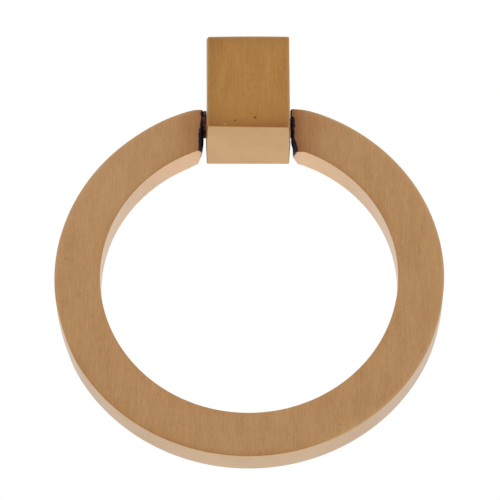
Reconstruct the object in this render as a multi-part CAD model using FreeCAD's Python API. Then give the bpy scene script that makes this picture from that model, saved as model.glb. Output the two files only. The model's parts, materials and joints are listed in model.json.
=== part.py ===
# Ring pull handle for a drawer or a cabinet door.
#
# A solid block is screwed to the drawer front from behind. A flat ring with a gap at its top
# hangs from the lower part of the block, one end of the ring on each side. A cross pin is driven
# through both ends of the ring and turns in a bore in the block, so the ring swings out and up.
# A thin spacer washer keeps each end of the ring clear of the block.
#
# Frame: X runs to the right along the pivot, Y runs back into the drawer front, Z is up.
# The origin is the mouth of the screw hole, on the block's mounting face. Millimetres.
import FreeCAD, Part
import math
import os

Vector = FreeCAD.Vector

# Ring: a flat band turned from bar, then sawn open at the top
ring_outer_diameter = 76.0
ring_band_width = 9.0
ring_thickness = 6.25
ring_edge_chamfer = 0.12
ring_outer_corner_radius = 1.5
ring_inner_corner_radius = 1.0
ring_end_rounding = 0.9

# Block that carries the ring
block_width = 16.4
block_height = 20.2
block_depth = 16.2
block_edge_radius = 0.15

# Pivot
pivot_below_ring_top = 3.4
pivot_above_block_bottom = 6.7
pivot_from_wall = 4.2
pin_diameter = 2.4
pin_running_clearance = 0.05
pin_seat_clearance = 0.01
end_gap = 0.65
washer_diameter = 5.5
washer_side_clearance = 0.05

# Tapped hole for the machine screw that comes through the drawer front
screw_tap_diameter = 3.45
screw_hole_depth = 10.0
screw_above_pivot = 7.2

# How far the cutting tools reach past the metal that they cut
tool_overrun = 2.0
# Depth of a rounded end edge below its sharp corner, as a share of its width: 0.29 would be tangent
end_rounding_crown = 0.33
# Two coordinates that differ by less than this are in one plane
same_plane = 1e-6

# Places worked out from the sizes above
ring_outer_radius = ring_outer_diameter / 2
ring_inner_radius = ring_outer_radius - ring_band_width
ring_end_x = block_width / 2 + end_gap
pivot_z = -screw_above_pivot
pivot_y = -pivot_from_wall
block_bottom_z = pivot_z - pivot_above_block_bottom
ring_centre_z = pivot_z + pivot_below_ring_top - ring_outer_radius
ring_front_y = pivot_y - ring_thickness / 2
ring_back_y = pivot_y + ring_thickness / 2


def front_point(x, height):
    """A point of the ring's front face, with its height measured from the ring's centre."""
    return Vector(x, ring_front_y, ring_centre_z + height)


def outer_corner():
    """The rounded outer corner of the right-hand end: its start on the ring, middle and end."""
    centre_x = ring_end_x + ring_outer_corner_radius
    centre_distance = ring_outer_radius - ring_outer_corner_radius
    centre_height = math.sqrt(centre_distance**2 - centre_x**2)
    start_angle = math.atan2(centre_height, centre_x)
    middle_angle = (start_angle + math.pi) / 2
    points = []
    for angle in (start_angle, middle_angle, math.pi):
        x = centre_x + ring_outer_corner_radius * math.cos(angle)
        points.append((x, centre_height + ring_outer_corner_radius * math.sin(angle)))
    return points


def inner_corner():
    """The rounded inner corner of the right-hand end: its start on the end, middle and end."""
    centre_x = ring_end_x + ring_inner_corner_radius
    centre_distance = ring_inner_radius + ring_inner_corner_radius
    centre_height = math.sqrt(centre_distance**2 - centre_x**2)
    end_angle = math.pi + math.atan2(centre_height, centre_x)
    middle_angle = (math.pi + end_angle) / 2
    points = []
    for angle in (math.pi, middle_angle, end_angle):
        x = centre_x + ring_inner_corner_radius * math.cos(angle)
        points.append((x, centre_height + ring_inner_corner_radius * math.sin(angle)))
    return points


def mirrored(points):
    """The same corner at the left-hand end, walked the other way."""
    return [(-x, height) for x, height in reversed(points)]


def arc_edge(points):
    return Part.Arc(*[front_point(x, height) for x, height in points]).toShape()


def line_edge(start, end):
    return Part.LineSegment(front_point(*start), front_point(*end)).toShape()


def ring_outline():
    """The ring's open outline, seen from the front, as one closed wire of lines and arcs."""
    right_outer = outer_corner()
    right_inner = inner_corner()
    left_outer = mirrored(right_outer)
    left_inner = mirrored(right_inner)
    edges = [
        arc_edge(right_outer),
        line_edge(right_outer[-1], right_inner[0]),
        arc_edge(right_inner),
        arc_edge([right_inner[-1], (0, -ring_inner_radius), left_inner[0]]),
        arc_edge(left_inner),
        line_edge(left_inner[-1], left_outer[0]),
        arc_edge(left_outer),
        arc_edge([left_outer[-1], (0, -ring_outer_radius), right_outer[0]]),
    ]
    return Part.Wire(edges)


def outline_edges(solid):
    """The edges that lie wholly in the ring's front face or in its back face."""
    found = []
    for edge in solid.Edges:
        box = edge.BoundBox
        for face_y in (ring_front_y, ring_back_y):
            if max(abs(box.YMin - face_y), abs(box.YMax - face_y)) < same_plane:
                found.append(edge)
    return found


def end_rounding_tool(side, face_y, outward):
    """A bar that rounds one edge of one ring end, where the end meets the front or back face."""
    edge_x = side * ring_end_x
    crown = end_rounding_crown * ring_end_rounding
    base_z = ring_centre_z
    on_end = Vector(edge_x, face_y - outward * ring_end_rounding, base_z)
    on_crown = Vector(edge_x + side * crown, face_y - outward * crown, base_z)
    on_face = Vector(edge_x + side * ring_end_rounding, face_y, base_z)
    beyond_face = Vector(on_face.x, face_y + outward * tool_overrun, base_z)
    beyond_both = Vector(edge_x - side * tool_overrun, beyond_face.y, base_z)
    beyond_end = Vector(beyond_both.x, on_end.y, base_z)
    edges = [Part.Arc(on_end, on_crown, on_face).toShape()]
    corners = [on_face, beyond_face, beyond_both, beyond_end, on_end]
    for start, end in zip(corners[:-1], corners[1:]):
        edges.append(Part.LineSegment(start, end).toShape())
    length = ring_outer_radius + tool_overrun
    return Part.Face(Part.Wire(edges)).extrude(Vector(0, 0, length))


def rod(diameter, start_x, end_x):
    """A straight round rod on the pivot axis."""
    start = Vector(start_x, pivot_y, pivot_z)
    return Part.makeCylinder(diameter / 2, end_x - start_x, start, Vector(1, 0, 0))


def pull_ring():
    ring = Part.Face(ring_outline()).extrude(Vector(0, ring_thickness, 0))
    ring = ring.makeChamfer(ring_edge_chamfer, outline_edges(ring))
    for side in (-1, 1):
        ring = ring.cut(end_rounding_tool(side, ring_front_y, -1))
        ring = ring.cut(end_rounding_tool(side, ring_back_y, 1))
    pin_seat = pin_diameter + 2 * pin_seat_clearance
    return ring.cut(rod(pin_seat, -ring_outer_radius, ring_outer_radius))


def mounting_block():
    corner = Vector(-block_width / 2, -block_depth, block_bottom_z)
    block = Part.makeBox(block_width, block_depth, block_height, corner)
    soft_edges = [edge for edge in block.Edges if edge.BoundBox.YMin < -block_depth / 2]
    block = block.makeFillet(block_edge_radius, soft_edges)
    pin_bore = pin_diameter + 2 * pin_running_clearance
    block = block.cut(rod(pin_bore, -block_width, block_width))
    into_block = Vector(0, -1, 0)
    screw_hole = Part.makeCylinder(
        screw_tap_diameter / 2, screw_hole_depth, Vector(0, 0, 0), into_block
    )
    return block.cut(screw_hole)


def pivot_pin():
    """The cross pin, its two ends ground flush with the ring's outer edge."""
    ring_disc = Part.makeCylinder(
        ring_outer_radius,
        ring_thickness,
        Vector(0, ring_front_y, ring_centre_z),
        Vector(0, 1, 0),
    )
    return rod(pin_diameter, -ring_outer_radius, ring_outer_radius).common(ring_disc)


def spacer_washer(side):
    """A thin washer on the pin, flat against the end of the ring."""
    block_side = block_width / 2 + washer_side_clearance
    start_x = min(side * block_side, side * ring_end_x)
    end_x = max(side * block_side, side * ring_end_x)
    hole = pin_diameter + 2 * pin_running_clearance
    return rod(washer_diameter, start_x, end_x).cut(rod(hole, start_x, end_x))


nodes = {
    "mounting_block": mounting_block(),
    "pull_ring": pull_ring(),
    "pivot_pin": pivot_pin(),
    "left_spacer_washer": spacer_washer(-1),
    "right_spacer_washer": spacer_washer(1),
}

os.makedirs("parts", exist_ok=True)
for name, shape in nodes.items():
    shape.exportStep(os.path.join("parts", name + ".step"))
    print(name, "solids", len(shape.Solids), "volume", round(shape.Volume, 2), "valid", shape.isValid())
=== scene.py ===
import json
import math

import bmesh
import bpy
from mathutils import Matrix, Vector


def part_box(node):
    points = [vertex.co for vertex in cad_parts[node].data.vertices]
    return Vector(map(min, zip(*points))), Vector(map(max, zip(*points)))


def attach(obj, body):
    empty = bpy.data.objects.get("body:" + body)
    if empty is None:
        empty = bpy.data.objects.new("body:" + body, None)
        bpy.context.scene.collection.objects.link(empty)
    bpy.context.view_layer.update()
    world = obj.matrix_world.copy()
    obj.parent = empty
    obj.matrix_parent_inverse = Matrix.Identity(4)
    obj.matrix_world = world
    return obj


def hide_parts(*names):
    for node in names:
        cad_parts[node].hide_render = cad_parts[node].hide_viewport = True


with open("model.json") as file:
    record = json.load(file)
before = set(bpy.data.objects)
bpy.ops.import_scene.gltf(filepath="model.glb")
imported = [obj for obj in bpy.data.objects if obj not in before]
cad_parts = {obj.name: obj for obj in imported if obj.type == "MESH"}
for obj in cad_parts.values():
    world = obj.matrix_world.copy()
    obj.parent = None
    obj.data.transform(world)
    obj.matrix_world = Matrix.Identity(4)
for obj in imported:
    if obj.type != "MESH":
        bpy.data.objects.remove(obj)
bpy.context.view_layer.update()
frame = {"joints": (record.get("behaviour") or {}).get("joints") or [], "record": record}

# Mounting block
# The solid bronze post that is screwed to the drawer front from behind. It is sawn from bar, its
# front is brushed up and down, its edges are eased by hand, and it is lacquered.
mm = 0.001
block_low, block_high = (Vector(corner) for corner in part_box("mounting_block"))
# It was sawn a little to the left of its middle
left_shift = 0.24 * mm
right_shift = 0.19 * mm
block_low.x -= left_shift
block_high.x -= right_shift
block_size = block_high - block_low
block_middle = (block_low + block_high) / 2
# How far the file eased each edge
front_side_edge = 0.14 * mm
front_top_edge = 0.12 * mm
front_bottom_edge = 0.09 * mm
left_top_edge = 0.22 * mm
right_top_edge = 0.38 * mm
side_bottom_edge = 0.20 * mm
back_edge = 0.12 * mm
back_side_edge = 0.25 * mm
widest_edge = right_top_edge
edge_segments = 5
# An edge that bends less than this is left as it is
least_bend = math.radians(30)
# The sides are not quite flat: the left is rubbed away at the front, over a short depth at the top
# and a long one at the bottom, and both swell near the pivot
left_taper = 0.36 * mm
left_taper_top_depth = 1.0 * mm
left_swell = 0.08 * mm
left_top_narrowing = 0.06 * mm
left_kink = 0.075 * mm
left_kink_share = 0.35
right_swell = 0.19 * mm
right_top_swell = 0.06 * mm
right_kink = 0.068 * mm
right_kink_share = 0.55
swell_depth = 8.0 * mm
back_skew = 0.06 * mm
# The top of the front is slightly bowed, and the bottom is a little out of level
top_bow = 0.10 * mm
top_bow_cuts = 5
front_left_rise = 0.13 * mm
front_right_drop = 0.23 * mm
back_tilt = 0.04 * mm
# Bore for the pivot pin
swing = frame["joints"][0]
pivot = Vector(swing["pos_m"])
pin_bore_radius = 1.25 * mm
hole_sides = 48
# Tapped hole in the back
screw = frame["record"]["mounts"][0]
hole_mouth = Vector(screw["pos_m"])
thread_pitch = 0.794 * mm
thread_root_radius = 2.08 * mm
thread_sink = 0.03 * mm
thread_base_radius = thread_root_radius + thread_sink
thread_crest_radius = screw["dims"]["r_mm"] * mm
thread_mouth_radius = 2.35 * mm
thread_depth = screw["dims"]["length_mm"] * mm
thread_half_foot = 0.4 * thread_pitch
plain_turns = 2
steps_per_turn = 32
# How nearly a face has to look along an axis to be taken for a side, a flank or a flat
side_facing = 0.99
flank_facing = 0.9
flat_facing = 0.996


def eased_width(edge):
    """How far back an edge of the block is filed."""
    start, end = (vert.co for vert in edge.verts)
    middle = (start + end) / 2
    if edge.calc_face_angle() < least_bend:
        return 0.0
    upright = abs(end.z - start.z) > block_size.z / 2
    at_top = middle.z > block_middle.z
    if middle.y > block_high.y - back_edge:
        return back_side_edge if upright else back_edge
    if upright:
        return front_side_edge
    if middle.y < block_low.y + back_edge:
        return front_top_edge if at_top else front_bottom_edge
    if not at_top:
        return side_bottom_edge
    return left_top_edge if middle.x < block_middle.x else right_top_edge


def new_piece(name, mesh):
    """Turns a bmesh into an object that sits at the origin, with smooth faces."""
    data = bpy.data.meshes.new(name)
    mesh.to_mesh(data)
    mesh.free()
    data.shade_smooth()
    piece = bpy.data.objects.new(name, data)
    bpy.context.scene.collection.objects.link(piece)
    return piece


def fix_modifiers(piece):
    """Works a piece's modifiers into its mesh."""
    shown = bpy.context.evaluated_depsgraph_get()
    piece.data = bpy.data.meshes.new_from_object(piece.evaluated_get(shown))
    piece.modifiers.clear()


def even_shading(piece, sharp_angle=40):
    """Keeps flat faces flat beside their rounded edges."""
    piece.data.shade_smooth()
    piece.data.set_sharp_from_angle(angle=math.radians(sharp_angle))
    piece.modifiers.new("even_faces", "WEIGHTED_NORMAL").keep_sharp = True


def facing(mesh, direction):
    """The largest face that looks along a direction."""
    looking = [face for face in mesh.faces if face.normal.dot(direction) > side_facing]
    return max(looking, key=lambda face: face.calc_area())


def on_flank(face):
    """Whether a face belongs to the left or the right side of the block."""
    off_middle = abs(face.calc_center_median().x - block_middle.x)
    return abs(face.normal.x) > flank_facing and off_middle > block_size.x / 4


def bored_face(mesh, face, centre, turn, radius):
    """Opens a round hole in a face and returns the edges of its rim."""
    outline = list(face.edges)
    normal = face.normal.copy()
    on_face = face.calc_center_median()
    bmesh.ops.delete(mesh, geom=[face], context="FACES_ONLY")
    place = Matrix.Translation(centre) @ turn
    circle = bmesh.ops.create_circle(mesh, segments=hole_sides, radius=radius, matrix=place)
    axis = turn @ Vector((0, 0, 1))
    for vert in circle["verts"]:
        vert.co -= axis * normal.dot(vert.co - on_face) / normal.dot(axis)
    rim = [edge for edge in mesh.edges if all(end in circle["verts"] for end in edge.verts)]
    bmesh.ops.triangle_fill(mesh, use_beauty=True, edges=outline + rim)
    return rim


def deepened(mesh, rim, move, widen, centre):
    """Draws a hole's rim on along the hole and returns its new rim."""
    drawn = bmesh.ops.extrude_edge_only(mesh, edges=rim)["geom"]
    ends = [item for item in drawn if isinstance(item, bmesh.types.BMVert)]
    bmesh.ops.translate(mesh, vec=move, verts=ends)
    bmesh.ops.scale(mesh, vec=(widen, 1, widen), space=Matrix.Translation(-centre), verts=ends)
    return [item for item in drawn if isinstance(item, bmesh.types.BMEdge)]


block_mesh = bmesh.new()
swell_y = block_low.y + swell_depth
plan = [
    (block_low.x + left_taper, block_low.y),
    (block_high.x, block_low.y),
    (block_high.x, swell_y),
    (block_high.x - back_skew, block_high.y),
    (block_low.x - back_skew, block_high.y),
    (block_low.x, swell_y),
]
floor_corners = [block_mesh.verts.new((x, y, block_low.z)) for x, y in plan]
front_left, front_right, right_middle, back_right, back_left, left_middle = floor_corners
block_floor = block_mesh.faces.new(floor_corners)
drawn = bmesh.ops.extrude_face_region(block_mesh, geom=[block_floor])["geom"]
raised = [item for item in drawn if isinstance(item, bmesh.types.BMVert)]
bmesh.ops.translate(block_mesh, vec=(0, 0, block_size.z), verts=raised)
bmesh.ops.recalc_face_normals(block_mesh, faces=block_mesh.faces)
left_middle.co.x -= left_swell
right_middle.co.x += right_swell
for vert in raised:
    on_left = vert.co.x < block_middle.x
    if on_left and vert.co.y > block_low.y + back_edge:
        vert.co.x += left_top_narrowing
    if abs(vert.co.y - swell_y) < back_edge:
        if on_left:
            vert.co.y = block_low.y + left_taper_top_depth
        else:
            vert.co.x += right_top_swell
for foot, share, kink_x in (
    (left_middle, left_kink_share, block_low.x + left_kink),
    (right_middle, right_kink_share, block_high.x + right_kink),
):
    ridge = next(edge for edge in foot.link_edges if edge.other_vert(foot) in raised)
    kink = bmesh.utils.edge_split(ridge, foot, share)[1]
    kink.co.x = kink_x
front_left.co.z += front_left_rise
left_middle.co.z += (front_left_rise + back_tilt) / 2
back_left.co.z += back_tilt
front_right.co.z -= front_right_drop
right_middle.co.z -= (front_right_drop + back_tilt) / 2
back_right.co.z -= back_tilt
strip_edges = []
for edge in block_mesh.edges:
    start, end = edge.verts
    runs_across = abs(start.co.x - end.co.x) > block_size.x / 2
    if runs_across and {start, end} != {back_left, back_right}:
        strip_edges.append(edge)
bmesh.ops.subdivide_edges(block_mesh, edges=strip_edges, cuts=top_bow_cuts, use_grid_fill=True)
for vert in block_mesh.verts:
    if vert.co.z > block_middle.z and vert.co.y < block_low.y + back_edge:
        off_middle = 2 * (vert.co.x - block_middle.x) / block_size.x
        vert.co.z -= top_bow * off_middle**2
softness = block_mesh.edges.layers.float.new("bevel_weight_edge")
for edge in block_mesh.edges:
    edge[softness] = eased_width(edge) / widest_edge
block = new_piece("mounting_block_dressed", block_mesh)
filing = block.modifiers.new("filed_edges", "BEVEL")
filing.width = widest_edge
filing.segments = edge_segments
filing.limit_method = "WEIGHT"
fix_modifiers(block)

block_mesh = bmesh.new()
block_mesh.from_mesh(block.data)
front_look, side_look, bare_look = 0, 1, 2
for face in block_mesh.faces:
    if on_flank(face) or max(abs(part) for part in face.normal) < flat_facing:
        face.material_index = bare_look
    else:
        face.material_index = front_look if face.normal.y < -flat_facing else side_look
outside = set(block_mesh.faces)
bore_rims = []
across = Matrix.Rotation(math.radians(90), 4, "Y")
for side in (-1, 1):
    side_face = facing(block_mesh, Vector((side, 0, 0)))
    bore_mouth = Vector((block_middle.x + side * block_size.x / 2, pivot.y, pivot.z))
    bore_rims += bored_face(block_mesh, side_face, bore_mouth, across, pin_bore_radius)
bmesh.ops.bridge_loops(block_mesh, edges=bore_rims)
back_face = facing(block_mesh, Vector((0, 1, 0)))
along = Matrix.Rotation(math.radians(90), 4, "X")
rim = bored_face(block_mesh, back_face, hole_mouth, along, thread_mouth_radius)
countersink = thread_mouth_radius - thread_root_radius
to_root = thread_root_radius / thread_mouth_radius
rim = deepened(block_mesh, rim, Vector((0, -countersink, 0)), to_root, hole_mouth)
rim = deepened(block_mesh, rim, Vector((0, -thread_depth, 0)), 1.0, hole_mouth)
bmesh.ops.contextual_create(block_mesh, geom=rim)
bmesh.ops.recalc_face_normals(block_mesh, faces=block_mesh.faces)
bored = set(block_mesh.faces)
thread_section = [
    (thread_crest_radius, 0.0),
    (thread_base_radius, -thread_half_foot),
    (thread_base_radius, thread_half_foot),
]
thread_corners = []
for radius, past_crest in thread_section:
    corner = Vector((radius, -thread_pitch - past_crest, 0))
    thread_corners.append(block_mesh.verts.new(hole_mouth + corner))
thread_start = block_mesh.faces.new(thread_corners)
thread_turns = int(thread_depth / thread_pitch) - plain_turns
bmesh.ops.spin(
    block_mesh, geom=thread_corners + list(thread_start.edges) + [thread_start],
    cent=hole_mouth, axis=(0, 1, 0), dvec=(0, -thread_pitch / steps_per_turn, 0),
    angle=math.tau * thread_turns, steps=steps_per_turn * thread_turns,
)
thread = [face for face in block_mesh.faces if face not in bored]
bmesh.ops.recalc_face_normals(block_mesh, faces=thread)
for face in block_mesh.faces:
    if face not in outside:
        face.material_index = bare_look if on_flank(face) else side_look
block_mesh.to_mesh(block.data)
block_mesh.free()
even_shading(block)

# Colours of the brushed front, the lacquered sides and the bare flanks, then of the painted
# highlight and painted shade along their edges, and of their pits
front_deep_bronze = (0.331, 0.134, 0.009)
front_pale_bronze = (0.441, 0.226, 0.038)
side_bronze = (0.492, 0.251, 0.055)
side_pale_bronze = (0.545, 0.289, 0.074)
bare_bronze = (0.423, 0.221, 0.064)
bare_pale_bronze = (0.488, 0.267, 0.097)
edge_highlight_bronze = (0.492, 0.298, 0.133)
shade_and_wear_brown = (0.255, 0.082, 0.0)
bottom_shade_bronze = (0.362, 0.148, 0.0)
side_shade_bronze = (0.44, 0.208, 0.0)
pit_brown = (0.02, 0.012, 0.012)
# Pits that the brushing left in the front, as x, z, radius in millimetres, and darkness
block_pits = [
    (1.23, -11.82, 0.30, 1.0),
    (-2.67, -12.49, 0.25, 0.85),
    (0.60, -10.98, 0.18, 0.4),
    (1.31, -5.14, 0.18, 0.35),
]
# Small bright nicks, in the same way
block_nicks = [
    (-5.15, -13.30, 0.2, 0.32),
    (-4.75, -13.26, 0.2, 0.25),
    (-4.5, -13.36, 0.22, 0.42),
]
nick_bronze = (0.637, 0.379, 0.105)
# The flat floor of a pit, as a share of its radius
pit_floor = 0.3
# Painted shade along the front's edges, at its bottom right corner, towards its bottom and towards
# the front of the sides, and painted highlights along the front's top, left and right edges, as
# their share at the edge or corner where they start, and their reach
bottom_shade = (0.65, 4.5 * mm)
bottom_edge_shade = (1.0, 1.4 * mm)
corner_shade = (0.26, 3.0 * mm)
top_shade = (0.6, 1.5 * mm)
left_shade = (0.78, 1.4 * mm)
right_shade = (0.36, 0.6 * mm)
top_highlight = (1.0, 0.26 * mm)
left_highlight = (0.36, 0.26 * mm)
right_highlight = (0.9, 0.22 * mm)
side_front_shade = (0.6, 5.0 * mm)
# Marks of the brushing, from fine lines to patches and specks: their cells per metre along each
# axis, their detail and their share of the tone
brush_marks = [
    ((5200, 5200, 560), 2.0, 0.34),
    ((2200, 2200, 180), 2.0, 0.26),
    ((300, 300, 110), 1.0, 0.2),
    ((3800, 3800, 2600), 1.0, 0.2),
]
brushed_range = (0.34, 0.66)
dent_cells = (1500, 1500, 1000)
dent_range = (0.66, 0.76)
dent_darkness = 0.6
brush_depth = 0.010 * mm
# Marks of the saw on the sides, and the share of the tone that broad patches have there
saw_cells = (500, 2800, 2800)
saw_detail = 3.0
saw_depth = 0.006 * mm
side_patch_cells = 170
side_patch_share = 0.65
bare_patch_share = 0.5
# The parts of the noise's range that are spread over the tones
close_range = (0.35, 0.65)
wide_range = (0.3, 0.7)
# Roughness, from the deep tones to the pale ones
brushed_roughness = (0.42, 0.3)
side_roughness = (0.4, 0.32)
bare_roughness = 0.45
lacquer_roughness = 0.22
lacquer_refraction = 1.5


def add_node(tree, kind, inputs, **options):
    """Adds a node, sets its options, and sets or links each input by name or number."""
    node = tree.nodes.new(kind)
    for option, value in options.items():
        setattr(node, option, value)
    for socket, value in inputs.items():
        if isinstance(value, bpy.types.NodeSocket):
            tree.links.new(value, node.inputs[socket])
        else:
            node.inputs[socket].default_value = value
    return node


def reckon(tree, operation, *values, clamp=False):
    """One step of arithmetic, as a node."""
    inputs = dict(enumerate(values))
    return add_node(tree, "ShaderNodeMath", inputs, operation=operation, use_clamp=clamp).outputs[0]


def rescale(tree, value, from_low, from_high, to_low, to_high):
    """Maps one range of a value onto another, and holds it there."""
    inputs = {0: value, 1: from_low, 2: from_high, 3: to_low, 4: to_high}
    return add_node(tree, "ShaderNodeMapRange", inputs, clamp=True).outputs[0]


def blended(tree, share, first, second):
    """Mixes two colours by a share from 0 to 1."""
    inputs = {"Factor": share, 6: first, 7: second}
    return add_node(tree, "ShaderNodeMix", inputs, data_type="RGBA").outputs[2]


def opaque(colour):
    """A colour with its fourth value, as sockets take it."""
    return (*colour, 1.0)


def grain(tree, place, scale, detail):
    """Noise from 0 to 1, with its own scale along each axis of the object, in cells per metre."""
    stretched = add_node(tree, "ShaderNodeMapping", {"Vector": place, "Scale": scale}).outputs[0]
    inputs = {"Vector": stretched, "Scale": 1.0, "Detail": detail, "Roughness": 0.6}
    return add_node(tree, "ShaderNodeTexNoise", inputs).outputs[0]


def fading(tree, distance, share, reach):
    """A share that falls away with distance, to about a third of itself at the reach."""
    power = reckon(tree, "DIVIDE", reckon(tree, "MAXIMUM", distance, 0.0), -reach)
    return reckon(tree, "MULTIPLY", reckon(tree, "EXPONENT", power), share)


def added(tree, shares):
    """Adds up shares, to 1 at most."""
    total = shares[0]
    for share in shares[1:]:
        total = reckon(tree, "ADD", total, share, clamp=True)
    return total


def new_finish(name):
    """An empty metal finish, with its shader and the object's own coordinates."""
    material = bpy.data.materials.new(name)
    material.use_nodes = True
    tree = material.node_tree
    place = tree.nodes.new("ShaderNodeTexCoord").outputs["Object"]
    shader = tree.nodes["Principled BSDF"]
    shader.inputs["Metallic"].default_value = 1.0
    return material, tree, shader, place


def lacquer(shader):
    """The clear coat that such hardware is dipped in."""
    shader.inputs["Coat Weight"].default_value = 1.0
    shader.inputs["Coat Roughness"].default_value = lacquer_roughness
    shader.inputs["Coat IOR"].default_value = lacquer_refraction


def brushed_tone(tree, place):
    """The tone of a brushed face with its dents, from 0 to 1, and its finest lines alone."""
    layers = []
    tone = 0.0
    for cells, detail, share in brush_marks:
        layers.append(grain(tree, place, cells, detail))
        tone = reckon(tree, "MULTIPLY_ADD", layers[-1], share, tone)
    tone = rescale(tree, tone, *brushed_range, 0.0, 1.0)
    dents = grain(tree, place, dent_cells, detail=2.0)
    dents = rescale(tree, dents, *dent_range, 0.0, dent_darkness)
    return reckon(tree, "SUBTRACT", tone, dents, clamp=True), layers[0]


def satin_tone(tree, place, line_cells, line_detail, patch_cells, patch_share):
    """The tone of a satin face, from lines and broad patches, and its lines alone."""
    lines = grain(tree, place, line_cells, line_detail)
    patches = grain(tree, place, (patch_cells, patch_cells, patch_cells), detail=2.0)
    line_tone = reckon(tree, "MULTIPLY", lines, 1 - patch_share)
    return reckon(tree, "MULTIPLY_ADD", patches, patch_share, line_tone), lines


def distance_from(tree, place, point):
    """How far each place on a piece lies from one point."""
    inputs = {0: place, 1: point}
    measured = add_node(tree, "ShaderNodeVectorMath", inputs, operation="DISTANCE")
    return measured.outputs["Value"]


def pitted(tree, place, face_y, pits):
    """How deep each point of a flat front lies in one of its pits, from 0 to 1."""
    depths = []
    for x, z, radius, darkness in pits:
        distance = distance_from(tree, place, (x * mm, face_y, z * mm))
        depth = rescale(tree, distance, pit_floor * radius * mm, radius * mm, darkness, 0.0)
        depths.append(depth)
    return added(tree, depths)


def scratch_bump(tree, height, depth):
    """Scratches and pits of a given depth."""
    inputs = {"Height": height, "Strength": 1.0, "Distance": depth}
    return add_node(tree, "ShaderNodeBump", inputs).outputs[0]


front_finish, tree, shader, place = new_finish("brushed_block_front")
tone, fine = brushed_tone(tree, place)
axes = add_node(tree, "ShaderNodeSeparateXYZ", {0: place}).outputs
from_bottom = reckon(tree, "SUBTRACT", axes["Z"], block_low.z)
from_top = reckon(tree, "SUBTRACT", block_high.z, axes["Z"])
from_right = reckon(tree, "SUBTRACT", block_high.x, axes["X"])
from_left = reckon(tree, "SUBTRACT", axes["X"], block_low.x)
from_left_taper = reckon(tree, "SUBTRACT", axes["X"], block_low.x + left_taper)
low_right_corner = (block_high.x, block_low.y, block_low.z)
# Painted shade: the front darkens along its edges and towards its bottom right corner
shade_and_wear = added(tree, [
    fading(tree, from_bottom, *bottom_edge_shade),
    fading(tree, distance_from(tree, place, low_right_corner), *corner_shade),
    fading(tree, from_top, *top_shade),
    fading(tree, from_left, *left_shade),
    fading(tree, from_right, *right_shade),
])
# Painted highlights along the front's top, left and right edges
highlight_and_rub = added(tree, [
    fading(tree, from_top, *top_highlight),
    fading(tree, from_left_taper, *left_highlight),
    fading(tree, from_right, *right_highlight),
])
pits = pitted(tree, place, block_low.y, block_pits)
bronze = blended(tree, tone, opaque(front_deep_bronze), opaque(front_pale_bronze))
# Painted shade: the front is darker and warmer towards its bottom
bronze = blended(tree, fading(tree, from_bottom, *bottom_shade), bronze, opaque(bottom_shade_bronze))
bronze = blended(tree, shade_and_wear, bronze, opaque(shade_and_wear_brown))
bronze = blended(tree, highlight_and_rub, bronze, opaque(edge_highlight_bronze))
bronze = blended(tree, pits, bronze, opaque(pit_brown))
bronze = blended(tree, pitted(tree, place, block_low.y, block_nicks), bronze, opaque(nick_bronze))
height = reckon(tree, "SUBTRACT", fine, pits)
tree.links.new(bronze, shader.inputs["Base Color"])
tree.links.new(rescale(tree, tone, 0, 1, *brushed_roughness), shader.inputs["Roughness"])
tree.links.new(scratch_bump(tree, height, brush_depth), shader.inputs["Normal"])
lacquer(shader)
tree.links.new(reckon(tree, "SUBTRACT", 1.0, pits), shader.inputs["Coat Weight"])

side_finish, tree, shader, place = new_finish("satin_block_sides")
tone, lines = satin_tone(tree, place, saw_cells, saw_detail, side_patch_cells, side_patch_share)
axes = add_node(tree, "ShaderNodeSeparateXYZ", {0: place}).outputs
from_front = reckon(tree, "SUBTRACT", axes["Y"], block_low.y)
paleness = rescale(tree, tone, *close_range, 0, 1)
bronze = blended(tree, paleness, opaque(side_bronze), opaque(side_pale_bronze))
# Painted shade: the sides are darker and warmer towards the front
bronze = blended(tree, fading(tree, from_front, *side_front_shade), bronze, opaque(side_shade_bronze))
tree.links.new(bronze, shader.inputs["Base Color"])
tree.links.new(rescale(tree, tone, *wide_range, *side_roughness), shader.inputs["Roughness"])
tree.links.new(scratch_bump(tree, lines, saw_depth), shader.inputs["Normal"])
lacquer(shader)

# The lacquer is rubbed off the left and right sides and the eased edges
bare_finish, tree, shader, place = new_finish("bare_block_flanks")
tone, lines = satin_tone(tree, place, saw_cells, saw_detail, side_patch_cells, bare_patch_share)
paleness = rescale(tree, tone, *wide_range, 0, 1)
bronze = blended(tree, paleness, opaque(bare_bronze), opaque(bare_pale_bronze))
tree.links.new(bronze, shader.inputs["Base Color"])
tree.links.new(scratch_bump(tree, lines, saw_depth), shader.inputs["Normal"])
shader.inputs["Roughness"].default_value = bare_roughness

for finish in (front_finish, side_finish, bare_finish):
    block.data.materials.append(finish)
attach(block, "block")
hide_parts("mounting_block")

# Pull ring
# The flat bronze ring that the hand takes hold of. It is turned from bar, sawn open at the top, its
# faces are brushed up and down, and its ends are filed to blunt noses and blackened.
ring_low, ring_high = (Vector(corner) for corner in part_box("pull_ring"))
ring_outer = (ring_high.x - ring_low.x) / 2
ring_band = 9.0 * mm
ring_inner = ring_outer - ring_band
ring_centre = Vector((0, pivot.y, ring_low.z + ring_outer))
band_middle_radius = ring_inner + ring_band / 2
ring_edge = 0.12 * mm
ring_edge_segments = 3
filed_bend = math.radians(40)
turned_gap = math.radians(24)
turned_steps = 240
# Where the outer edge is worn a little flat: how deep in millimetres, and the angles, in degrees
# clockwise from the top, between which each flat sets in and runs out
worn_flats = [
    (0.14, (274, 290), (322, 336)),
    (0.10, (256, 264), (274, 290)),
    (0.20, (241, 251), (256, 264)),
    (0.08, (86, 98), (104, 114)),
]
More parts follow.
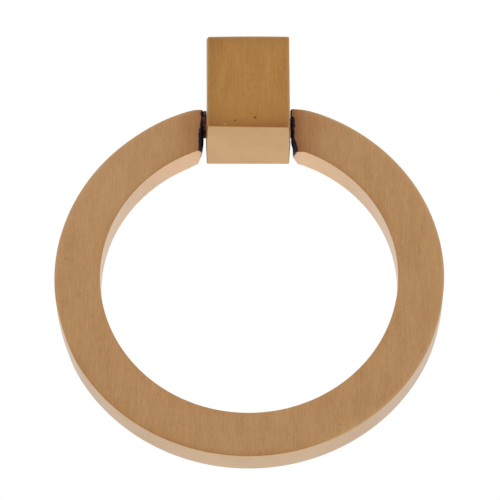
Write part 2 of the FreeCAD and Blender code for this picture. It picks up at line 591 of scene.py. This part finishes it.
# The two ends were sawn and filed by hand, so each has its own sizes, in millimetres, the left one
# under -1 and the right one under 1. Pairs are for the outer and the inner edge. First |x| of four
# sections where an end has its full thickness, and how far the outer edge is filed down there
full_sections = [(13.6, 11.9), (12.2, 11.5), (11.2, 11.2), (10.4, 10.9)]
outer_fall = {-1: (0.0, 0.02, 0.08, 0.20), 1: (0.0, 0.05, 0.13, 0.23)}
# Then |x| where the end starts to narrow on the front, of its tip, and where it starts on the back
front_start = {-1: (9.50, 9.75), 1: (8.58, 8.95)}
end_tip = {-1: (8.93, 9.24), 1: (8.28, 8.68)}
back_start = {-1: (9.95, 10.30), 1: (9.30, 9.70)}
# How far the narrowing reaches in from the front and from the back, its steps, and how round it is
front_depth = {-1: 1.3, 1: 0.4}
back_depth = {-1: 4.6, 1: 2.4}
narrowing_steps = (0.0, 0.06, 0.2, 0.42, 0.7, 1.0)
front_roundness = 0.5
back_roundness = 0.8
# How far the outer edge is filed down where the narrowing starts, and at the tip
tip_fall = {-1: (0.44, 0.80), 1: (0.54, 0.70)}
# The tip's bends, as their share of the way from the outer edge to the inner, and |x| in front and
# behind
tip_bends = {-1: [(0.80, 9.03, 9.20)], 1: [(0.79, 8.32, 8.80), (0.86, 8.79, 8.79)]}
# How far the file left the inner edge low or high, |x| where that begins and where it is full, by
# side and in front or behind
inner_drop = {
    (-1, True): (0.0, 12.0, 10.0),
    (-1, False): (-0.22, 12.4, 10.2),
    (1, True): (0.7, 11.1, 9.3),
    (1, False): (0.0, 12.0, 10.0),
}
# How nearly a face has to look outwards or to the front to be taken for the rim or the front, and
# inwards to be taken for the opening
ring_facing = 0.999
opening_facing = 0.8


def eased(value, low, high):
    """A smooth step from 0 to 1."""
    share = max(0.0, min(1.0, (value - low) / (high - low)))
    return share * share * (3 - 2 * share)


def ring_corner(side, x, y, fall, outside):
    """A corner of a section of the ring's end, with its inner edge left low or high."""
    radius = ring_outer - fall * mm if outside else ring_inner
    z = ring_centre.z + math.sqrt(radius**2 - (x * mm)**2)
    if not outside:
        drop, start, full = inner_drop[side, y < ring_centre.y]
        z -= drop * mm * max(0.0, min(1.0, (start - x) / (start - full)))
    return Vector((side * x * mm, y, z))


def full_corner(side, step, outside, in_front):
    """A corner where the end still has its full thickness."""
    x = full_sections[step][0 if outside else 1]
    y = ring_low.y if in_front else ring_high.y
    return ring_corner(side, x, y, outer_fall[side][step], outside)


def narrowing_corner(side, share, outside, in_front):
    """A corner part of the way from where the end starts to narrow, at 0, to its tip, at 1."""
    which = 0 if outside else 1
    start = (front_start if in_front else back_start)[side][which]
    roundness = front_roundness if in_front else back_roundness
    x = start + (end_tip[side][which] - start) * share**roundness
    if in_front:
        y = ring_low.y + front_depth[side] * share * mm
    else:
        y = ring_high.y - back_depth[side] * share * mm
    low_fall, high_fall = tip_fall[side]
    return ring_corner(side, x, y, low_fall + (high_fall - low_fall) * share**roundness, outside)


ring_section = [
    (ring_outer, ring_low.y),
    (ring_outer, ring_high.y),
    (ring_inner, ring_high.y),
    (ring_inner, ring_low.y),
]
ring_mesh = bmesh.new()
section = []
for radius, y in ring_section:
    height = ring_centre.z + radius * math.cos(turned_gap)
    section.append(ring_mesh.verts.new(Vector((radius * math.sin(turned_gap), y, height))))
first_face = ring_mesh.faces.new(section)
turned = bmesh.ops.spin(
    ring_mesh, geom=section + list(first_face.edges) + [first_face],
    cent=ring_centre, axis=(0, 1, 0),
    angle=math.tau - 2 * turned_gap, steps=turned_steps,
)
last_face = next(item for item in turned["geom_last"] if isinstance(item, bmesh.types.BMFace))
for vert in ring_mesh.verts:
    outward = Vector((vert.co.x, 0, vert.co.z - ring_centre.z))
    angle = math.degrees(math.atan2(outward.x, outward.z)) % 360
    if outward.length > band_middle_radius:
        for depth, sets_in, runs_out in worn_flats:
            share = eased(angle, *sets_in) * (1 - eased(angle, *runs_out))
            vert.co -= outward.normalized() * depth * mm * share
for side, face in ((1, first_face), (-1, last_face)):
    steps = [(full_corner, step) for step in range(len(full_sections))]
    steps += [(narrowing_corner, share) for share in narrowing_steps]
    for corner_at, step in steps:
        drawn = bmesh.ops.extrude_face_region(ring_mesh, geom=[face] + list(face.edges))["geom"]
        face = next(item for item in drawn if isinstance(item, bmesh.types.BMFace))
        for vert in face.verts:
            outside = math.hypot(vert.co.x, vert.co.z - ring_centre.z) > band_middle_radius
            vert.co = corner_at(side, step, outside, vert.co.y < ring_centre.y)
    tip_edges = [edge for edge in face.edges if edge.calc_length() > ring_band / 2]
    bend_verts = [[] for bend in tip_bends[side]]
    for edge in tip_edges:
        inside, outside = sorted(edge.verts, key=lambda vert: vert.co.z)
        top = outside.co.copy()
        for bend, (share, front_x, back_x) in enumerate(tip_bends[side]):
            middle = top.lerp(inside.co, share)
            x = front_x if inside.co.y < ring_centre.y else back_x
            vert = bmesh.utils.edge_split(edge, inside, 0.5)[1]
            vert.co = Vector((side * x * mm, middle.y, middle.z))
            bend_verts[bend].append(vert)
            edge = next(lower for lower in vert.link_edges if inside in lower.verts)
    for pair in bend_verts:
        bmesh.ops.connect_verts(ring_mesh, verts=pair)
bmesh.ops.recalc_face_normals(ring_mesh, faces=ring_mesh.faces)
ring = new_piece("pull_ring_dressed", ring_mesh)
filing = ring.modifiers.new("filed_edges", "BEVEL")
filing.width = ring_edge
filing.segments = ring_edge_segments
filing.limit_method = "ANGLE"
filing.angle_limit = filed_bend
pin_radius = 1.2 * mm
seat_clearance = 0.015 * mm
seat_radius = pin_radius + seat_clearance
seat_mesh = bmesh.new()
bmesh.ops.create_cone(
    seat_mesh, cap_ends=True, segments=hole_sides, radius1=seat_radius, radius2=seat_radius,
    depth=2 * ring_outer, matrix=Matrix.Translation(pivot) @ across,
)
seat_drill = new_piece("pin_seat_drill", seat_mesh)
drilling = ring.modifiers.new("pin_seat", "BOOLEAN")
drilling.operation = "DIFFERENCE"
drilling.object = seat_drill
fix_modifiers(ring)
bpy.data.objects.remove(seat_drill)
even_shading(ring)
fix_modifiers(ring)
# The rim and the opening are shaded as true rounds
normals = [Vector(corner.vector) for corner in ring.data.corner_normals]
for face in ring.data.polygons:
    for loop, vert in zip(face.loop_indices, face.vertices):
        outward = ring.data.vertices[vert].co - ring_centre
        outward.y = 0
        outward.normalize()
        if abs(face.normal.dot(outward)) > ring_facing:
            normals[loop] = outward * math.copysign(1, face.normal.dot(outward))
ring.data.normals_split_custom_set(normals)

# Colours of the brushed faces, the rim and the opening, then of their painted highlights and the
# ends. The opening is paler than the rim as painted light, and both darken towards the ring's
# sides as painted shade
ring_deep_bronze = (0.362, 0.164, 0.045)
ring_pale_bronze = (0.489, 0.27, 0.103)
rim_bronze = (0.56, 0.386, 0.235)
rim_pale_bronze = (0.59, 0.406, 0.248)
rim_side_shade_bronze = (0.546, 0.374, 0.228)
# Painted light: the opening is paler than the rim
inner_lit_bronze = (0.706, 0.459, 0.273)
inner_lit_pale_bronze = (0.736, 0.479, 0.285)
inner_lit_side_shade_bronze = (0.63, 0.425, 0.259)
ring_highlight_bronze = (0.556, 0.371, 0.21)
painted_edge_highlight = (0.60, 0.38, 0.13)
end_black = (0.0165, 0.0175, 0.031)
black_shine = 0.1
black_dullness = 0.25
# Where the black of the ends stops, in millimetres: |x| at the top of the front, then how much
# wider it gets from one height to another
face_black = {
    -1: (9.57, [(-7.3, -10.8, 0.45)]),
    1: (8.46, [(-6.95, -7.3, 0.6), (-12.0, -13.9, 0.58)]),
}
# The same in the opening: |x| at its front, then how much wider from one depth to another
inner_black = {
    -1: (9.95, [(-7.3, -5.4, -0.8)]),
    1: (9.45, [(-7.3, -3.8, -0.8)]),
}
# The ragged edge of the black: how far it wanders, and how soft it is
ragged_cells = (1900, 1900, 900)
ragged_reach = 0.16 * mm
black_softness = 0.06 * mm
# The brown of the front beside the black, partly patina and partly painted shade from the block,
# and how strong it is
end_shade_and_patina_brown = (0.258, 0.077, 0.0)
left_end_shade_and_patina = 0.58
right_end_shade_and_patina = 1.0
end_shade_and_patina_reach = 3.3 * mm
# Painted shade and painted highlights along the edges of the front, as their share and their reach
outer_edge_shade = (0.5, 0.5 * mm)
outer_shade = (0.12, 2.5 * mm)
inner_edge_shade = (0.5, 0.42 * mm)
outer_edge_highlight = (0.6, 0.33 * mm)
# The share by which the upper left is made lighter all over
upper_left_lightening = 0.11
# Where the painted shade, the painted highlight and the lightening set in and where they are full,
# as shares of the ring's radius above its centre or to the right of it
low_span = (0.0, -1.0)
high_span = (0.0, 0.4)
lighter_left_span = (-0.4, -0.65)
lighter_high_span = (0.2, 0.4)
highlight_high_span = (-0.5, -0.1)
highlight_right_span = (0.2, 0.5)
# Where the painted shade falls towards the right, in the same way, and what share of it is left
# there
right_span = (0.1, 0.5)
right_shade_share = 0.15
# Turning lines on the rim and in the opening, and how rough they are
turning_cells = (300, 2600, 300)
turning_detail = 2.0
turning_depth = 0.004 * mm
rim_patch_cells = 120
rim_patch_share = 0.6
rim_roughness = (0.38, 0.3)
# The brown beside the black there, partly patina and partly painted shade, and the painted
# highlight along the front edge, as shares and reaches
rim_shade_and_patina = 0.5
inner_shade_and_patina = 0.25
shade_and_patina_reach = 0.6 * mm
rim_highlight = 0.9
inner_highlight = 0.0
highlight_reach = 0.3 * mm
# Where the painted shade of the ring's two sides begins and is full, as shares of the radius
side_shade_span = (0.58, 0.82)
# Pits and a bright nick in the front, as x, z, radius in millimetres, and strength
ring_pits = [
    (-29.35, -55.69, 0.15, 0.5),
    (-23.02, -61.68, 0.15, 0.4),
    (17.47, -73.24, 0.18, 0.55),
    (28.55, -51.48, 0.14, 0.4),
    (30.39, -56.57, 0.15, 0.4),
    (34.59, -46.60, 0.14, 0.35),
    (-25.97, -21.81, 0.15, 0.45),
]
ring_nicks = [(-36.14, -52.16, 0.2, 0.5)]


def blackened(tree, place, axis, black_edge):
    """How black each point of the ring is, how far past the black's edge, and if it is high up."""
    axes = add_node(tree, "ShaderNodeSeparateXYZ", {0: place}).outputs
    stops = {}
    for side, (stop, steps) in black_edge.items():
        stops[side] = stop * mm
        for start, end, wider in steps:
            step = rescale(tree, axes[axis], start * mm, end * mm, 0.0, wider * mm)
            stops[side] = reckon(tree, "ADD", stops[side], step)
    left, right = stops[-1], stops[1]
    on_right = reckon(tree, "GREATER_THAN", axes["X"], 0.0)
    stop = reckon(tree, "MULTIPLY_ADD", on_right, reckon(tree, "SUBTRACT", right, left), left)
    ragged = grain(tree, place, ragged_cells, detail=3.0)
    wander = rescale(tree, ragged, *wide_range, -ragged_reach, ragged_reach)
    stop = reckon(tree, "ADD", stop, wander)
    past = reckon(tree, "SUBTRACT", reckon(tree, "ABSOLUTE", axes["X"]), stop)
    upper_half = reckon(tree, "GREATER_THAN", axes["Z"], ring_centre.z)
    black = rescale(tree, past, -black_softness, black_softness, 1.0, 0.0)
    return reckon(tree, "MULTIPLY", black, upper_half), past, upper_half


def end_finish(tree, shader, bronze, rough, black):
    """Blackens a finish, and makes it dull there."""
    tree.links.new(blended(tree, black, bronze, opaque(end_black)), shader.inputs["Base Color"])
    tree.links.new(reckon(tree, "SUBTRACT", 1.0, black), shader.inputs["Metallic"])
    shader.inputs["Specular IOR Level"].default_value = black_shine
    rough = reckon(tree, "MULTIPLY_ADD", black, black_dullness, rough)
    tree.links.new(rough, shader.inputs["Roughness"])


def rising(tree, coordinate, span, full=1.0):
    """A share that rises to its full value over a span, given in shares of the ring's radius."""
    start, end = span
    return rescale(tree, coordinate, start * ring_outer, end * ring_outer, 0.0, full)


face_finish, tree, shader, place = new_finish("brushed_ring_faces")
tone, fine = brushed_tone(tree, place)
centred = add_node(
    tree, "ShaderNodeVectorMath", {0: place, 1: (0, 0, ring_centre.z)}, operation="SUBTRACT",
).outputs[0]
axes = add_node(tree, "ShaderNodeSeparateXYZ", {0: centred}).outputs
from_axis = reckon(tree, "SQRT", reckon(
    tree, "ADD", reckon(tree, "POWER", axes["X"], 2.0), reckon(tree, "POWER", axes["Z"], 2.0),
))
from_outer = reckon(tree, "SUBTRACT", ring_outer, from_axis)
from_inner = reckon(tree, "SUBTRACT", from_axis, ring_inner)
black, past, upper_half = blackened(tree, place, "Z", face_black)
on_right = reckon(tree, "GREATER_THAN", axes["X"], 0.0)
# Partly patina, partly painted shade from the block: the front browns beside the black ends
end_shade_and_patina = reckon(tree, "MULTIPLY_ADD", on_right, right_end_shade_and_patina - left_end_shade_and_patina, left_end_shade_and_patina)
end_shade_and_patina = reckon(tree, "MULTIPLY", fading(tree, past, end_shade_and_patina, end_shade_and_patina_reach), upper_half)
to_the_right = rising(tree, axes["X"], right_span, 1 - right_shade_share)
to_the_left = reckon(tree, "SUBTRACT", 1.0, to_the_right)
low_left = reckon(tree, "MULTIPLY", rising(tree, axes["Z"], low_span), to_the_left)
high_up = rising(tree, axes["Z"], high_span)
upper_left = reckon(
    tree, "MULTIPLY",
    rising(tree, axes["X"], lighter_left_span, upper_left_lightening),
    rising(tree, axes["Z"], lighter_high_span),
)
highlight_zone = reckon(
    tree, "MAXIMUM",
    rising(tree, axes["Z"], highlight_high_span),
    rising(tree, axes["X"], highlight_right_span),
)
# Painted shade along the lower outer edge and the upper inner edge of the front
shade_and_wear = added(tree, [
    reckon(tree, "MULTIPLY", fading(tree, from_outer, *outer_edge_shade), low_left),
    reckon(tree, "MULTIPLY", fading(tree, from_outer, *outer_shade), low_left),
    reckon(tree, "MULTIPLY", fading(tree, from_inner, *inner_edge_shade), high_up),
])
# Painted highlight along the outer edge, high up and on the right, and the upper left made lighter
highlight_and_rub = added(tree, [
    reckon(tree, "MULTIPLY", fading(tree, from_outer, *outer_edge_highlight), highlight_zone),
    upper_left,
])
pits = pitted(tree, place, ring_low.y, ring_pits)
bronze = blended(tree, tone, opaque(ring_deep_bronze), opaque(ring_pale_bronze))
bronze = blended(tree, end_shade_and_patina, bronze, opaque(end_shade_and_patina_brown))
bronze = blended(tree, shade_and_wear, bronze, opaque(shade_and_wear_brown))
bronze = blended(tree, highlight_and_rub, bronze, opaque(ring_highlight_bronze))
bronze = blended(tree, pits, bronze, opaque(pit_brown))
bronze = blended(tree, pitted(tree, place, ring_low.y, ring_nicks), bronze, opaque(nick_bronze))
end_finish(tree, shader, bronze, rescale(tree, tone, 0, 1, *brushed_roughness), black)
lacquer(shader)
bare = reckon(tree, "MAXIMUM", black, pits)
tree.links.new(reckon(tree, "SUBTRACT", 1.0, bare), shader.inputs["Coat Weight"])
height = reckon(tree, "SUBTRACT", fine, pits)
tree.links.new(scratch_bump(tree, height, brush_depth), shader.inputs["Normal"])

# The opening's colours carry painted light, paler than the rim's
rim_looks = [
    (
        "satin_ring_rim", ring_outer, (rim_bronze, rim_pale_bronze, rim_side_shade_bronze),
        rim_highlight, rim_shade_and_patina, "Z", face_black,
    ),
    (
        "lit_ring_opening", ring_inner, (inner_lit_bronze, inner_lit_pale_bronze, inner_lit_side_shade_bronze),
        inner_highlight, inner_shade_and_patina, "Y", inner_black,
    ),
]
rim_finishes = []
for name, radius, tones, highlight, brown, axis, black_edge in rim_looks:
    finish, tree, shader, place = new_finish(name)
    tone, lines = satin_tone(
        tree, place, turning_cells, turning_detail, rim_patch_cells, rim_patch_share,
    )
    tone = rescale(tree, tone, *close_range, 0, 1)
    black, past, upper_half = blackened(tree, place, axis, black_edge)
    # Partly patina, partly painted shade: the rim and the opening brown beside the black ends
    shade_and_wear = reckon(tree, "MULTIPLY", fading(tree, past, brown, shade_and_patina_reach), upper_half)
    axes = add_node(tree, "ShaderNodeSeparateXYZ", {0: place}).outputs
    from_front = reckon(tree, "SUBTRACT", axes["Y"], ring_low.y)
    # Painted highlight: a golden line along the rim's front edge
    edge_highlight = fading(tree, from_front, highlight, highlight_reach)
    sideways = reckon(tree, "ABSOLUTE", axes["X"])
    side_start, side_full = (share * radius for share in side_shade_span)
    # Painted shade: the rim and the opening darken towards the ring's two sides
    side_shade_share = rescale(tree, sideways, side_start, side_full, 0.0, 1.0)
    deep, pale, side_shade_tone = (opaque(colour) for colour in tones)
    bronze = blended(tree, tone, deep, pale)
    bronze = blended(tree, side_shade_share, bronze, side_shade_tone)
    bronze = blended(tree, edge_highlight, bronze, opaque(painted_edge_highlight))
    bronze = blended(tree, shade_and_wear, bronze, opaque(shade_and_wear_brown))
    end_finish(tree, shader, bronze, rescale(tree, tone, 0, 1, *rim_roughness), black)
    tree.links.new(scratch_bump(tree, lines, turning_depth), shader.inputs["Normal"])
    rim_finishes.append(finish)

for finish in [face_finish] + rim_finishes:
    ring.data.materials.append(finish)
face_look, rim_look, opening_look = 0, 1, 2
for face in ring.data.polygons:
    outward = Vector(face.center) - ring_centre
    outward.y = 0
    turn_out = face.normal.dot(outward.normalized())
    if abs(face.normal.y) > ring_facing:
        face.material_index = face_look
    else:
        face.material_index = opening_look if turn_out < -opening_facing else rim_look
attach(ring, "ring")
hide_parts("pull_ring")

# Pivot pin
# The straight bronze cross pin, driven through both ends of the ring and ground flush with its
# outer edge. It turns in the block's bore.
pin_bronze = (0.42, 0.25, 0.10)
pin_pale_bronze = (0.50, 0.32, 0.15)
grinding_cells = (700, 6000, 700)
pin_roughness = (0.34, 0.24)
pin_sharp_angle = 15

pin_finish, tree, shader, place = new_finish("ground_pin")
marks = grain(tree, place, grinding_cells, detail=3.0)
bronze = blended(tree, marks, opaque(pin_bronze), opaque(pin_pale_bronze))
tree.links.new(bronze, shader.inputs["Base Color"])
tree.links.new(rescale(tree, marks, *wide_range, *pin_roughness), shader.inputs["Roughness"])
pin_mesh = bmesh.new()
bmesh.ops.create_cone(
    pin_mesh, cap_ends=True, segments=hole_sides, radius1=pin_radius, radius2=pin_radius,
    depth=ring_outer, matrix=Matrix.Translation(pivot) @ across,
)
# Each end follows the ring's round edge, so it is cut into level strips
for vert in pin_mesh.verts:
    reach = math.sqrt(ring_outer**2 - (vert.co.z - ring_centre.z)**2)
    vert.co.x = math.copysign(reach, vert.co.x)
for vert in list(pin_mesh.verts):
    if vert.co.y > pivot.y:
        mirrored = Vector((vert.co.x, 2 * pivot.y - vert.co.y, vert.co.z))
        twin = min(pin_mesh.verts, key=lambda other: (other.co - mirrored).length)
        bmesh.ops.connect_verts(pin_mesh, verts=[vert, twin])
pin = new_piece("pivot_pin_dressed", pin_mesh)
even_shading(pin, sharp_angle=pin_sharp_angle)
pin.data.materials.append(pin_finish)
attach(pin, "ring")
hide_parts("pivot_pin")

# Spacer washers
# A thin blackened bronze washer sits on the pin at each side and keeps the ring's end clear of the
# block. It is stamped, so its edges are slightly round, and it sits a little way into the rounded
# end. The black is rubbed through in places.
washer_edge = 0.08 * mm
washer_seat = 0.55 * mm
washer_clearance = 0.03 * mm
washer_edge_segments = 3
washer_steps = 64
closing_distance = 0.002 * mm
washer_rubbed = (0.25, 0.11, 0.095)
rub_cells = (1500, 1500, 1500)
rub_range = (0.42, 0.64)
most_rubbed = 0.9
washer_roughness = (0.6, 0.42)

washer_finish, tree, shader, place = new_finish("blackened_washer")
highlight_and_rub = grain(tree, place, rub_cells, detail=4.0)
highlight_and_rub = rescale(tree, highlight_and_rub, *rub_range, 0.0, most_rubbed)
colour = blended(tree, highlight_and_rub, opaque(end_black), opaque(washer_rubbed))
tree.links.new(colour, shader.inputs["Base Color"])
tree.links.new(rescale(tree, highlight_and_rub, 0, 1, *washer_roughness), shader.inputs["Roughness"])
shader.inputs["Metallic"].default_value = 0.0
shader.inputs["Specular IOR Level"].default_value = black_shine

for node in ("left_spacer_washer", "right_spacer_washer"):
    washer_low, washer_high = (Vector(corner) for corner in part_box(node))
    washer_radius = (washer_high.z - washer_low.z) / 2
    if washer_low.x > 0:
        washer_low.x = block_high.x + right_swell + washer_clearance
        washer_high.x += washer_seat
    else:
        washer_high.x = block_low.x - left_swell - washer_clearance
        washer_low.x -= washer_seat
    washer_section = [
        (washer_low.x, pin_bore_radius),
        (washer_high.x, pin_bore_radius),
        (washer_high.x, washer_radius),
        (washer_low.x, washer_radius),
    ]
    washer_mesh = bmesh.new()
    corners = []
    for x, radius in washer_section:
        corners.append(washer_mesh.verts.new(Vector((x, pivot.y, pivot.z + radius))))
    washer_mesh.faces.new(corners)
    bmesh.ops.bevel(
        washer_mesh, geom=corners, offset=washer_edge, segments=washer_edge_segments,
        profile=0.5, affect="VERTICES", material=-1,
    )
    bmesh.ops.delete(washer_mesh, geom=list(washer_mesh.faces), context="FACES_ONLY")
    bmesh.ops.spin(
        washer_mesh, geom=list(washer_mesh.verts) + list(washer_mesh.edges),
        cent=pivot, axis=(1, 0, 0), angle=math.tau, steps=washer_steps, use_merge=True,
    )
    bmesh.ops.remove_doubles(washer_mesh, verts=washer_mesh.verts, dist=closing_distance)
    bmesh.ops.recalc_face_normals(washer_mesh, faces=washer_mesh.faces)
    washer = new_piece(node + "_dressed", washer_mesh)
    even_shading(washer)
    washer.data.materials.append(washer_finish)
    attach(washer, "ring")
    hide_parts(node)

# Floor and light
# A pale floor lies well below the handle. A wide soft lamp hangs overhead. The room lights the
# handle a little less from the camera's side, and is white where the camera or the metal sees it.
floor_height = -0.46
floor_reach = 4.0
floor_white = (0.93, 0.93, 0.93)
floor_roughness = 0.9
# Between these headings, from front to back, the room's light rises from one level to the other
room_span = (-0.85, 0.15)
near_level = 0.805
far_level = 0.92
lamp_place = (0.2, 0.4, 1.3)
lamp_width = 1.6
lamp_power = 10.0

floor_mesh = bmesh.new()
bmesh.ops.create_grid(floor_mesh, x_segments=1, y_segments=1, size=floor_reach)
bmesh.ops.translate(floor_mesh, vec=(0, 0, floor_height), verts=floor_mesh.verts)
floor = new_piece("floor", floor_mesh)
floor_finish, tree, shader, place = new_finish("pale_floor")
shader.inputs["Metallic"].default_value = 0.0
shader.inputs["Base Color"].default_value = opaque(floor_white)
shader.inputs["Roughness"].default_value = floor_roughness
floor.data.materials.append(floor_finish)

lamp = bpy.data.objects.new("overhead_lamp", bpy.data.lights.new("overhead_lamp", "AREA"))
lamp.data.size = lamp_width
lamp.data.energy = lamp_power
lamp.location = lamp_place
bpy.context.scene.collection.objects.link(lamp)

room = bpy.data.worlds.new("white_room")
bpy.context.scene.world = room
room.use_nodes = True
tree = room.node_tree
heading = tree.nodes.new("ShaderNodeTexCoord").outputs["Generated"]
axes = add_node(tree, "ShaderNodeSeparateXYZ", {0: heading}).outputs
room_level = rescale(tree, axes["Y"], *room_span, near_level, far_level)
rays = tree.nodes.new("ShaderNodeLightPath").outputs
seen = added(tree, [rays["Is Camera Ray"], rays["Is Glossy Ray"], rays["Is Transmission Ray"]])
level = reckon(tree, "MAXIMUM", room_level, seen)
tree.links.new(level, tree.nodes["Background"].inputs["Strength"])
tree.nodes["Background"].inputs["Color"].default_value = opaque((1, 1, 1))

# Camera
# It looks up at the handle from in front and below, through a long lens.
camera_elevation = math.radians(-25.36)
camera_azimuth = math.radians(0.40)
camera_distance = 0.6955
lens_mm = 257.3
sensor_mm = 36.0
# Where the middle of the ring's front lies in the photo, in pixels from the photo's own middle
photo_width = 500
ring_right_of_middle = -1.00
ring_above_middle = -25.10
pixel = camera_distance * sensor_mm / (lens_mm * photo_width)

ring_front = Vector((ring_centre.x, ring_low.y, ring_centre.z))
toward = Vector((
    -math.sin(camera_azimuth) * math.cos(camera_elevation),
    math.cos(camera_azimuth) * math.cos(camera_elevation),
    -math.sin(camera_elevation),
))
right = toward.cross(Vector((0, 0, 1))).normalized()
up = right.cross(toward)
aim = ring_front - right * ring_right_of_middle * pixel - up * ring_above_middle * pixel
camera = bpy.data.objects.new("camera", bpy.data.cameras.new("camera"))
camera.data.sensor_width = sensor_mm
camera.data.lens = lens_mm
camera.location = aim - toward * camera_distance
camera.rotation_euler = toward.to_track_quat("-Z", "Y").to_euler()
bpy.context.scene.collection.objects.link(camera)
bpy.context.scene.camera = camera
bpy.context.scene.view_settings.view_transform = "Standard"
